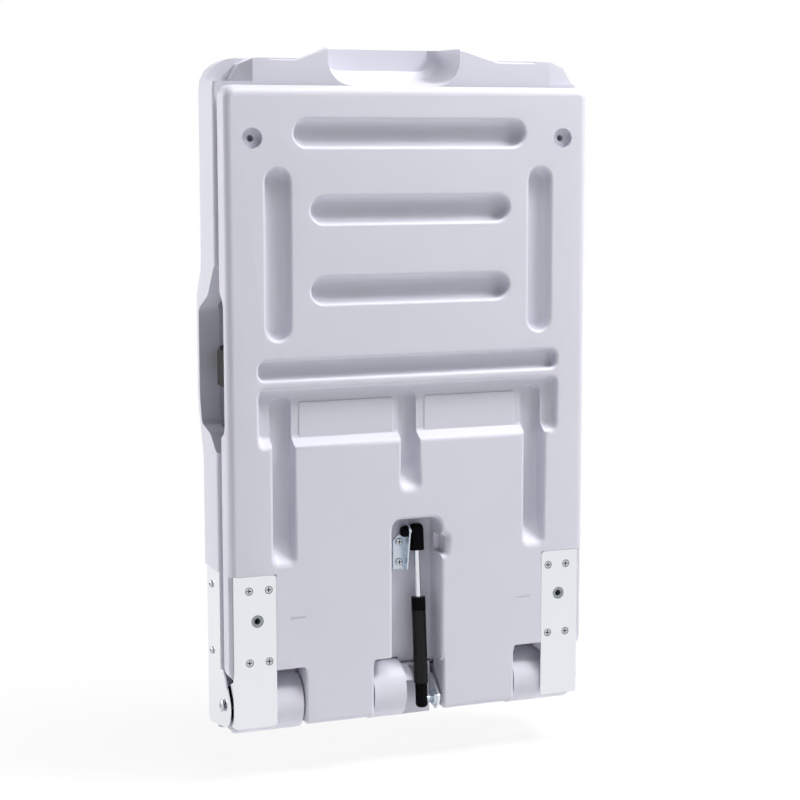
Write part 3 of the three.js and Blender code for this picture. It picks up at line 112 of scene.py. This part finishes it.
lamps = [
    # name, place, size in metres, power in watts, aim
    ("keyLamp", (-1.85, 1.0, 2.4), 1.3, 96, (0, 0, -0.1)),
    ("sideLamp", (2.0, -1.1, 0.5), 1.5, 34, (0, 0, -0.1)),
    ("fillLamp", (-1.9, 1.9, 0.6), 1.6, 5, (0, 0, -0.1)),
    ("topLamp", (-0.1, 0.75, 2.3), 1.3, 27, (0, 0, -0.1)),
    ("roomLamp", (-1.2, -2.4, 1.6), 1.8, 17, (0, 0, 0)),
]
ambient = {"colour": "#FFFFFF", "strength": 0.04, "backdrop": "#FFFFFF"}


def seenDirectly(tree):
    # 1 where the camera, a reflection or glass looks at the backdrop, 0 where it only sheds light
    path = addNode(tree, "ShaderNodeLightPath")
    seen = path.outputs["Is Camera Ray"]
    for ray in ("Is Glossy Ray", "Is Transmission Ray"):
        either = addNode(tree, "ShaderNodeMath", {"operation": "MAXIMUM"}, {0: seen, 1: path.outputs[ray]})
        seen = either.outputs[0]
    return seen


def makeLights():
    for name, place, size, power, aim in lamps:
        data = bpy.data.lights.new(name, "AREA")
        data.shape = "DISK"
        data.size = size
        data.energy = power
        lamp = bpy.data.objects.new(name, data)
        lamp.location = place
        lamp.rotation_euler = (Vector(aim) - Vector(place)).to_track_quat("-Z", "Y").to_euler()
        bpy.context.scene.collection.objects.link(lamp)
    world = bpy.data.worlds.new("studio")
    bpy.context.scene.world = world
    world.use_nodes = True
    tree = world.node_tree
    tree.nodes.clear()
    soft = addNode(tree, "ShaderNodeBackground", {
        "Color": linear(ambient["colour"]), "Strength": ambient["strength"],
    })
    white = addNode(tree, "ShaderNodeBackground", {"Color": linear(ambient["backdrop"]), "Strength": 1.0})
    mixed = addNode(tree, "ShaderNodeMixShader", {}, {
        0: seenDirectly(tree), 1: soft.outputs[0], 2: white.outputs[0],
    })
    addNode(tree, "ShaderNodeOutputWorld", {}, {"Surface": mixed.outputs[0]})
    bpy.context.scene.view_settings.view_transform = "Standard"


# the station hangs on a wall, so the floor lies below the swing of its bed
floorPlan = {
    "radius": 4.0, "segments": 96, "drop": 54 * mm, "colour": "#F7F7F8",
    "glow": "#FFFFFF", "cleared": 0.86, "fade": (0.55, 1.4),
}


def makeFloor():
    bm = bmesh.new()
    bmesh.ops.create_circle(bm, cap_ends=True, segments=floorPlan["segments"], radius=floorPlan["radius"])
    bmesh.ops.translate(bm, verts=bm.verts, vec=(0, 0, cadBox[0].z - floorPlan["drop"]))
    mesh = bpy.data.meshes.new("floor")
    bm.to_mesh(mesh)
    bm.free()
    floor = bpy.data.objects.new("floor", mesh)
    bpy.context.scene.collection.objects.link(floor)
    paper = bpy.data.materials.new("paperSweep")
    paper.use_nodes = True
    tree = paper.node_tree
    tree.nodes.clear()
    # the paper keeps a faint shadow round the station and clears to white away from it
    place = addNode(tree, "ShaderNodeTexCoord")
    away = addNode(tree, "ShaderNodeVectorMath", {"operation": "LENGTH"}, {0: place.outputs["Object"]})
    near, far = floorPlan["fade"]
    fade = addNode(tree, "ShaderNodeMapRange", {
        "From Min": near, "From Max": far, "To Min": floorPlan["cleared"],
    }, {"Value": away.outputs["Value"]})
    share = addNode(tree, "ShaderNodeMath", {"operation": "MULTIPLY"}, {
        0: seenDirectly(tree), 1: fade.outputs[0],
    })
    matt = addNode(tree, "ShaderNodeBsdfDiffuse", {"Color": linear(floorPlan["colour"])})
    glow = addNode(tree, "ShaderNodeEmission", {"Color": linear(floorPlan["glow"]), "Strength": 1.0})
    mixed = addNode(tree, "ShaderNodeMixShader", {}, {
        0: share.outputs[0], 1: matt.outputs[0], 2: glow.outputs[0],
    })
    addNode(tree, "ShaderNodeOutputMaterial", {}, {"Surface": mixed.outputs[0]})
    mesh.materials.append(paper)


makeCamera()
makeLights()
makeFloor()
print("camera, lights and floor are in place")


def startMaterial(name, surface):
    # surface holds what is the same all over, by the names of the shader's own inputs
    material = bpy.data.materials.new(name)
    material.use_nodes = True
    tree = material.node_tree
    shader = tree.nodes["Principled BSDF"]
    for key, value in surface.items():
        shader.inputs[key].default_value = linear(value) if key == "Base Color" else value
    material.diffuse_color = linear(surface["Base Color"])
    return material, tree, shader


def addGrain(tree, shader, size, detail, stretch=(1, 1, 1), colours=None, roughness=None, relief=None):
    # noise on Object coordinates, its grains about size metres across, that varies the surface between
    # two colours or two values of roughness, or raises it by a strength and a depth, over earlier relief
    place = addNode(tree, "ShaderNodeTexCoord")
    turned = addNode(tree, "ShaderNodeMapping", {"Scale": stretch}, {"Vector": place.outputs["Object"]})
    grain = addNode(tree, "ShaderNodeTexNoise", {"Scale": 1 / size, "Detail": detail}, {
        "Vector": turned.outputs[0],
    }).outputs[0]
    if colours:
        low, high = (linear(code) for code in colours)
        mix = addNode(tree, "ShaderNodeMix", {"data_type": "RGBA", 6: low, 7: high}, {0: grain})
        tree.links.new(mix.outputs[2], shader.inputs["Base Color"])
    if roughness:
        low, high = roughness
        spread = addNode(tree, "ShaderNodeMapRange", {"To Min": low, "To Max": high}, {"Value": grain})
        tree.links.new(spread.outputs[0], shader.inputs["Roughness"])
    if relief:
        strength, depth = relief
        normal = shader.inputs["Normal"]
        heights = {"Height": grain}
        if normal.is_linked:
            heights["Normal"] = normal.links[0].from_socket
        bump = addNode(tree, "ShaderNodeBump", {"Strength": strength, "Distance": depth}, heights)
        tree.links.new(bump.outputs[0], normal)


polyethylene = {
    "surface": {"Base Color": "#D9D9E3", "Roughness": 0.42, "IOR": 1.51},
    "flow": {"size": 110 * mm, "detail": 3, "colours": ("#D3D3DE", "#D9D9E3"), "relief": (0.5, 0.25 * mm)},
    "pebble": {"size": 1.5 * mm, "detail": 3, "roughness": (0.42, 0.52), "relief": (0.5, 0.05 * mm)},
}


def mouldedPolyethylene():
    # polyethylene moulded in a spark-eroded tool: satin, finely pebbled, with faint flow marks and sinks
    # the real pebble is 0.3 mm, drawn at 1.5 mm so that it shows
    material, tree, shader = startMaterial("mouldedPolyethylene", polyethylene["surface"])
    addGrain(tree, shader, **polyethylene["flow"])
    addGrain(tree, shader, **polyethylene["pebble"])
    return material


stainless = {
    "surface": {"Base Color": "#E4E7EB", "Roughness": 0.1, "Metallic": 1.0},
    "lay": {"size": 1.2 * mm, "detail": 2, "stretch": (1, 1, 0.04), "roughness": (0.07, 0.16)},
    "wave": {"size": 28 * mm, "detail": 1, "relief": (0.4, 0.12 * mm)},
}


def polishedStainless():
    # rolled stainless sheet, buffed: nearly a mirror, with a faint lay along its length and slight waviness
    # the real lay is under 0.2 mm, drawn at 1.2 mm so that it shows
    material, tree, shader = startMaterial("polishedStainless", stainless["surface"])
    addGrain(tree, shader, **stainless["lay"])
    addGrain(tree, shader, **stainless["wave"])
    return material


zinc = {
    "surface": {"Base Color": "#C4CDD6", "Roughness": 0.28, "Metallic": 1.0},
    "mottle": {
        "size": 2.5 * mm, "detail": 3, "colours": ("#AEBBC8", "#D3DAE2"),
        "roughness": (0.2, 0.36), "relief": (0.25, 0.03 * mm),
    },
}


def zincPlated():
    # pressed steel with bright blue-passivated zinc: bluish, mottled, softer reflections than stainless
    material, tree, shader = startMaterial("zincPlated", zinc["surface"])
    addGrain(tree, shader, **zinc["mottle"])
    return material


screwSteel = {
    "surface": {"Base Color": "#C3C8CE", "Roughness": 0.2, "Metallic": 1.0},
    "smear": {"size": 1.4 * mm, "detail": 2, "roughness": (0.14, 0.3), "relief": (0.2, 0.02 * mm)},
}


def brightScrewSteel():
    # cold-headed stainless screws: bright, a little smeared by the header's die
    material, tree, shader = startMaterial("brightScrewSteel", screwSteel["surface"])
    addGrain(tree, shader, **screwSteel["smear"])
    return material


# painted shade for the screws' recesses: a dark, dull colour that stands in for their shadow
recessShade = {
    "surface": {"Base Color": "#2B2C30", "Roughness": 0.6, "IOR": 1.5, "Specular IOR Level": 0.2},
    "crust": {"size": 0.7 * mm, "detail": 2, "colours": ("#232428", "#3A3B40"), "relief": (0.3, 0.03 * mm)},
}


def recessOxide():
    # painted shade in the cross and round the sunk head, a dark colour for the shadow there: dark grey and
    # dull
    material, tree, shader = startMaterial("recessOxide", recessShade["surface"])
    addGrain(tree, shader, **recessShade["crust"])
    return material


nylonBlack = {
    "surface": {"Base Color": "#0A0A0C", "Roughness": 0.34, "IOR": 1.53, "Specular IOR Level": 0.03},
    "pebble": {
        "size": 1.1 * mm, "detail": 2, "colours": ("#070708", "#101013"),
        "roughness": (0.28, 0.42), "relief": (0.3, 0.03 * mm),
    },
}


def mouldedNylonBlack():
    # glass-filled black nylon, moulded: near black, satin, with a fine pebble
    # the real pebble is about 0.3 mm, drawn at 1.1 mm so that it shows
    material, tree, shader = startMaterial("mouldedNylonBlack", nylonBlack["surface"])
    addGrain(tree, shader, **nylonBlack["pebble"])
    return material


enamel = {
    "surface": {
        "Base Color": "#060607", "Roughness": 0.3, "IOR": 1.5, "Specular IOR Level": 0.16,
        "Coat Weight": 0.12, "Coat Roughness": 0.08,
    },
    "peel": {"size": 3 * mm, "detail": 1, "roughness": (0.24, 0.36), "relief": (0.2, 0.03 * mm)},
}


def blackEnamel():
    # baked enamel on a drawn steel tube: deep black under a clear gloss, with a faint orange peel
    material, tree, shader = startMaterial("blackEnamel", enamel["surface"])
    addGrain(tree, shader, **enamel["peel"])
    return material


chrome = {
    "surface": {"Base Color": "#DDE1E6", "Roughness": 0.08, "Metallic": 1.0},
    "rings": {
        "size": 0.8 * mm, "detail": 1, "stretch": (0.05, 0.05, 1),
        "roughness": (0.05, 0.14), "relief": (0.15, 0.01 * mm),
    },
}


def groundChrome():
    # hard chrome on a ground rod: bright, with grinding rings round it
    # the real rings are under 0.1 mm apart, drawn at 0.8 mm so that they show
    material, tree, shader = startMaterial("groundChrome", chrome["surface"])
    addGrain(tree, shader, **chrome["rings"])
    return material


nylonGrey = {
    "surface": {"Base Color": "#8F979A", "Roughness": 0.5, "IOR": 1.53},
    "cloud": {"size": 4 * mm, "detail": 2, "colours": ("#868E91", "#999FA2"), "relief": (0.2, 0.04 * mm)},
}


def turnedNylonGrey():
    # natural grey nylon, turned into a bush: milky and matt
    material, tree, shader = startMaterial("turnedNylonGrey", nylonGrey["surface"])
    addGrain(tree, shader, **nylonGrey["cloud"])
    return material


polypropylene = {
    "surface": {
        "Base Color": "#1B1C1F", "Roughness": 0.7, "IOR": 1.49, "Sheen Weight": 0.3, "Sheen Roughness": 0.4,
    },
    "yarn": 1.4 * mm, "dark": "#121315", "light": "#26272B", "strength": 0.8, "relief": 0.3 * mm,
}
waveScale = math.pi / 10  # a wave texture's scale for one band in each unit


def wovenPolypropylene():
    # flat woven webbing of black polypropylene yarn: dull, with a soft sheen and a fine chequer
    # the UV map runs in metres along and across the strap
    p = polypropylene
    material, tree, shader = startMaterial("wovenPolypropylene", p["surface"])
    flat = addNode(tree, "ShaderNodeUVMap", {"uv_map": "strap"})
    along, across = (
        addNode(tree, "ShaderNodeTexWave", {"bands_direction": way, "Scale": waveScale / p["yarn"]}, {
            "Vector": flat.outputs[0],
        }).outputs["Fac"]
        for way in ("X", "Y")
    )
    cross = addNode(tree, "ShaderNodeMath", {"operation": "MULTIPLY"}, {0: along, 1: across}).outputs[0]
    shades = {"data_type": "RGBA", 6: linear(p["dark"]), 7: linear(p["light"])}
    mix = addNode(tree, "ShaderNodeMix", shades, {0: cross})
    bump = addNode(tree, "ShaderNodeBump", {"Strength": p["strength"], "Distance": p["relief"]}, {
        "Height": cross,
    })
    tree.links.new(mix.outputs[2], shader.inputs["Base Color"])
    tree.links.new(bump.outputs[0], shader.inputs["Normal"])
    return material


finishes = {
    "moulding": mouldedPolyethylene(),
    "polished_steel": polishedStainless(),
    "zinc_steel": zincPlated(),
    "bright_steel": brightScrewSteel(),
    # the next finish is painted shade for the screws' crosses and the rims of sunk heads
    "recess_oxide": recessOxide(),
    "black_plastic": mouldedNylonBlack(),
    "black_paint": blackEnamel(),
    "chrome": groundChrome(),
    "grey_nylon": turnedNylonGrey(),
    "webbing": wovenPolypropylene(),
}
print("materials are made")


# a dressed node is a copy with its vertices joined, so that its rounds shade smoothly
dressing = {"joinWithin": 0.002 * mm, "sharpAbove": 34, "faceWeight": 80}


def finishPiece(bm, node, ending, finish):
    limit = math.radians(dressing["sharpAbove"])
    for face in bm.faces:
        face.smooth = True
    for edge in bm.edges:
        edge.smooth = len(edge.link_faces) == 2 and edge.calc_face_angle(0) < limit
    name = node + ending
    mesh = bpy.data.meshes.new(name)
    bm.to_mesh(mesh)
    bm.free()
    mesh.materials.append(finishes[finish])
    piece = bpy.data.objects.new(name, mesh)
    bpy.context.scene.collection.objects.link(piece)
    weigh = piece.modifiers.new("evenShade", "WEIGHTED_NORMAL")
    weigh.keep_sharp = True
    weigh.weight = dressing["faceWeight"]
    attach(piece, bodyOf[node])
    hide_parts(node)
    return piece


def dressNode(node, finish):
    bm = bmesh.new()
    bm.from_mesh(frame["nodes"][node].data)
    bmesh.ops.remove_doubles(bm, verts=bm.verts, dist=dressing["joinWithin"])
    finishPiece(bm, node, "_dressed", finish)


dressed = {
    "moulding": ["back_panel", "bed"],
    "polished_steel": [
        "hinge_plate_left", "hinge_plate_right", "bed_side_plate_left", "bed_side_plate_right",
        "strut_lower_bracket",
    ],
    "zinc_steel": ["strut_upper_bracket", "upper_ball_stud", "lower_ball_stud", "hinge_rod"],
    "grey_nylon": [
        "fixing_bush_left", "fixing_bush_right", "pivot_bush_left", "pivot_bush_right", "strut_piston",
    ],
    "black_plastic": [
        "upper_socket", "lower_socket", "strut_guide", "upper_stud_cap", "buckle_socket",
        "buckle_tongue", "strap_anchor_left", "strap_anchor_right",
    ],
    "black_paint": ["strut_tube"],
}
for finish, nodes in dressed.items():
    for node in nodes:
        dressNode(node, finish)
dressNode("strut_rod", "chrome")
print("CAD nodes are dressed")

screwForm = {
    "segments": 32, "headHeight": 2.2 * mm, "shank": 2.0 * mm, "neck": 0.2 * mm, "tip": 0.3 * mm,
    "slotHalf": 0.7 * mm, "slotReach": 3.1 * mm, "slotDepth": 1.6 * mm, "slotBorder": 0.2 * mm,
    "slotTaper": 0.62, "middleTaper": 0.9,
    "rimRound": 0.5 * mm, "rimEdge": 0.07 * mm, "domeSteps": 6, "domeShare": 0.8,
    "joinWithin": 0.02 * mm, "tolerance": 0.05 * mm,
}


def screwRings(kind, radius, length):
    # radius and height of each ring from the cross outwards, over the head and down to the tip
    p = screwForm
    height = p["headHeight"]
    flatTo = p["slotReach"] + p["slotBorder"]
    rings = [(flatTo, 0)]
    if kind == "sunk":
        rings.append((radius - p["rimRound"], 0))
        rings.append((radius - p["rimEdge"], -p["rimEdge"]))
        rings.append((radius, -p["rimRound"]))
    else:
        for step in range(1, p["domeSteps"] + 1):
            turn = math.pi / 2 * step / p["domeSteps"]
            wide = flatTo + (radius - flatTo) * math.sin(turn)
            rings.append((wide, -p["domeShare"] * height * (1 - math.cos(turn))))
        rings.append((radius, -height))
    rings.append((p["shank"], -height - p["neck"]))
    rings.append((p["shank"], p["shank"] - length))
    rings.append((p["tip"], -length))
    return rings


def vertsOf(geom):
    return [item for item in geom if isinstance(item, bmesh.types.BMVert)]


def crossScrew(kind, radius, length):
    # a cross-head screw that points down -Z, with the top of its head at the origin
    p = screwForm
    bm = bmesh.new()
    bmesh.ops.create_circle(bm, segments=p["segments"], radius=p["slotReach"])
    front = list(bm.edges)
    for wide, height in screwRings(kind, radius, length):
        grown = bmesh.ops.extrude_edge_only(bm, edges=front)["geom"]
        for vert in vertsOf(grown):
            side = Vector((vert.co.x, vert.co.y)).normalized() * wide
            vert.co = (side.x, side.y, height)
        front = [item for item in grown if isinstance(item, bmesh.types.BMEdge) and item.is_boundary]
    bmesh.ops.contextual_create(bm, geom=front)
    rim = [edge for edge in bm.edges if edge.is_boundary]
    grown = bmesh.ops.extrude_edge_only(bm, edges=rim)["geom"]
    for vert in vertsOf(grown):
        # between two arms the inner ring runs together into a corner of the middle square
        for k in (0, 1):
            vert.co[k] = max(-p["slotHalf"], min(p["slotHalf"], vert.co[k]))
    bmesh.ops.remove_doubles(bm, verts=bm.verts, dist=p["joinWithin"])
    bmesh.ops.holes_fill(bm, edges=[edge for edge in bm.edges if edge.is_boundary])
    # the faces that fan out from those corners are triangles and stay level with the head
    slotHalf = p["slotHalf"] + p["tolerance"]
    slotReach = p["slotReach"] + p["tolerance"]
    arms = [
        face for face in bm.faces
        if len(face.verts) != 3
        and all(min(abs(v.co.x), abs(v.co.y)) < slotHalf for v in face.verts)
        and all(v.co.z > -p["tolerance"] and v.co.length < slotReach for v in face.verts)
    ]
    before = set(bm.faces)
    sunk = bmesh.ops.extrude_face_region(bm, geom=arms)["geom"]
    # the walls and floor of the sunk cross get the second material, a painted shade
    for face in set(bm.faces) - before:
        face.material_index = 1
    bmesh.ops.delete(bm, geom=arms, context="FACES")
    for vert in vertsOf(sunk):
        taper = p["slotTaper"] if vert.co.length > 2 * p["slotHalf"] else p["middleTaper"]
        vert.co = (vert.co.x * taper, vert.co.y * taper, -p["slotDepth"])
    if kind == "sunk":
        # the rounded rim of a sunk head also gets the painted shade, for the dark gap round the head
        reach = p["rimRound"] + p["tolerance"]
        for face in bm.faces:
            if all(v.co.xy.length > radius - reach and v.co.z > -reach for v in face.verts):
                face.material_index = 1
    bmesh.ops.recalc_face_normals(bm, faces=bm.faces)
    return bm


# the form of each kind of screw and the side that its head faces
screwFaces = {
    "plate_screw": ("sunk", Vector((0, 1, 0))), "bracket_screw": ("pan", Vector((0, 1, 0))),
    "anchor_screw": ("pan", Vector((0, 1, 0))), "hanger_screw": ("sunk", Vector((-1, 0, 0))),
    "side_screw_left": ("pan", Vector((1, 0, 0))), "side_screw_right": ("pan", Vector((-1, 0, 0))),
    "pivot_screw_left": ("pan", Vector((1, 0, 0))), "pivot_screw_right": ("pan", Vector((-1, 0, 0))),
}


def makeScrews():
    for node in sorted(name for name in bodyOf if "_screw_" in name):
        kind, face = next(screwFaces[key] for key in screwFaces if node.startswith(key))
        low, high = (Vector(corner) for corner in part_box(node))
        size = high - low
        length = abs(size.dot(face))
        radius = size.z / 2
        bm = crossScrew(kind, radius, length)
        turn = face.to_track_quat("Z", "Y").to_matrix()
        headTop = (low + high) / 2 + face * length / 2
        bmesh.ops.rotate(bm, verts=bm.verts, cent=(0, 0, 0), matrix=turn)
        bmesh.ops.translate(bm, verts=bm.verts, vec=headTop)
        screw = finishPiece(bm, node, "_turned", "bright_steel")
        # the second material is painted shade for the cross and the rim of a sunk head
        screw.data.materials.append(finishes["recess_oxide"])


makeScrews()
print("screws are made")

webbing = {
    "width": 38 * mm, "thickness": 1.3 * mm, "middle": -42.6 * mm, "grid": 0.75 * mm,
    "ribs": 7, "ribHeight": 0.12 * mm,
    # the middle line of each length of strap, seen from above, in millimetres
    "shortPath": [
        (181, -113.9), (203, -113.9), (211, -108.6), (217, -97.9), (224, -81.9), (228.5, -57), (230.5, -39),
    ],
    "longPath": [(-203, -113.9), (-60, -113.9), (85, -113.9)],
    "roundings": 3, "shortestStep": 0.001 * mm,
    "stitchRadius": 0.4 * mm, "stitchLength": 2.6 * mm, "stitchGap": 1.2 * mm,
    "stitchLift": 0.1 * mm, "stitchSides": 6, "boxSide": 24 * mm, "boxAt": 45 * mm,
}


def roundedRoute(path):
    # the points of the strap's middle line, its corners cut at their quarters, with the distance run
    points = [Vector(point) * mm for point in path]
    for _ in range(webbing["roundings"]):
        cut = [points[0]]
        for a, b in zip(points, points[1:]):
            cut += [a.lerp(b, 0.25), a.lerp(b, 0.75)]
        points = cut + [points[-1]]
    route = [(0.0, points[0])]
    for a, b in zip(points, points[1:]):
        if (b - a).length > webbing["shortestStep"]:
            route.append((route[-1][0] + (b - a).length, b))
    return route


def alongRoute(route, distance):
    # the point, the strap's normal and its direction at a distance from its start
    for (startAt, a), (endAt, b) in zip(route, route[1:]):
        if distance <= endAt or endAt == route[-1][0]:
            share = (distance - startAt) / (endAt - startAt)
            way = (b - a).normalized()
            return a.lerp(b, share), Vector((-way.y, way.x)), way


def sewBox(bm, route):
    # a square of stitches with both its diagonals
    p = webbing
    half = p["boxSide"] / 2
    corners = [Vector(corner) for corner in ((-half, -half), (half, -half), (half, half), (-half, half))]
    seams = [(corners[k], corners[(k + 1) % 4]) for k in range(4)]
    seams += [(corners[0], corners[2]), (corners[1], corners[3])]
    for start, end in seams:
        seam = (end - start).normalized()
        count = int((end - start).length / (p["stitchLength"] + p["stitchGap"]))
        for k in range(count):
            spot = start.lerp(end, (k + 0.5) / count)
            point, normal, way = alongRoute(route, p["boxAt"] + spot.x)
            place = point + normal * (p["thickness"] / 2 + p["stitchLift"])
            along = Vector((way.x * seam.x, way.y * seam.x, seam.y)).normalized()
            turn = along.to_track_quat("Z", "Y").to_matrix()
            stitch = bmesh.ops.create_cone(
                bm, cap_ends=True, segments=p["stitchSides"], depth=p["stitchLength"],
                radius1=p["stitchRadius"], radius2=p["stitchRadius"],
            )["verts"]
            bmesh.ops.rotate(bm, verts=stitch, cent=(0, 0, 0), matrix=turn)
            bmesh.ops.translate(bm, verts=stitch, vec=(place.x, place.y, p["middle"] + spot.y))


def makeWeb(node, path):
    # a flat grid with the strap's UV map, bent along its route, ribbed and given its thickness
    p = webbing
    route = roundedRoute(path)
    length = route[-1][0]
    bm = bmesh.new()
    strapMap = bm.loops.layers.uv.new("strap")
    columns, rows = int(length / p["grid"]), int(p["width"] / p["grid"])
    bmesh.ops.create_grid(bm, x_segments=columns, y_segments=rows, size=0.5)
    flat = {}
    for vert in bm.verts:
        flat[vert] = ((vert.co.x + 0.5) * length, vert.co.y * p["width"])
    for face in bm.faces:
        for loop in face.loops:
            loop[strapMap].uv = flat[loop.vert]
    for vert, (run, across) in flat.items():
        point, normal, way = alongRoute(route, run)
        rib = p["ribHeight"] * math.cos(2 * math.pi * p["ribs"] * across / p["width"])
        place = point + normal * (rib - p["thickness"] / 2)
        vert.co = (place.x, place.y, p["middle"] + across)
    bmesh.ops.recalc_face_normals(bm, faces=bm.faces)
    bmesh.ops.solidify(bm, geom=bm.faces, thickness=p["thickness"])
    sewBox(bm, route)
    finishPiece(bm, node, "_woven", "webbing")


makeWeb("strap_web_left", webbing["shortPath"])
makeWeb("strap_web_right", webbing["longPath"])
print("strap is woven")
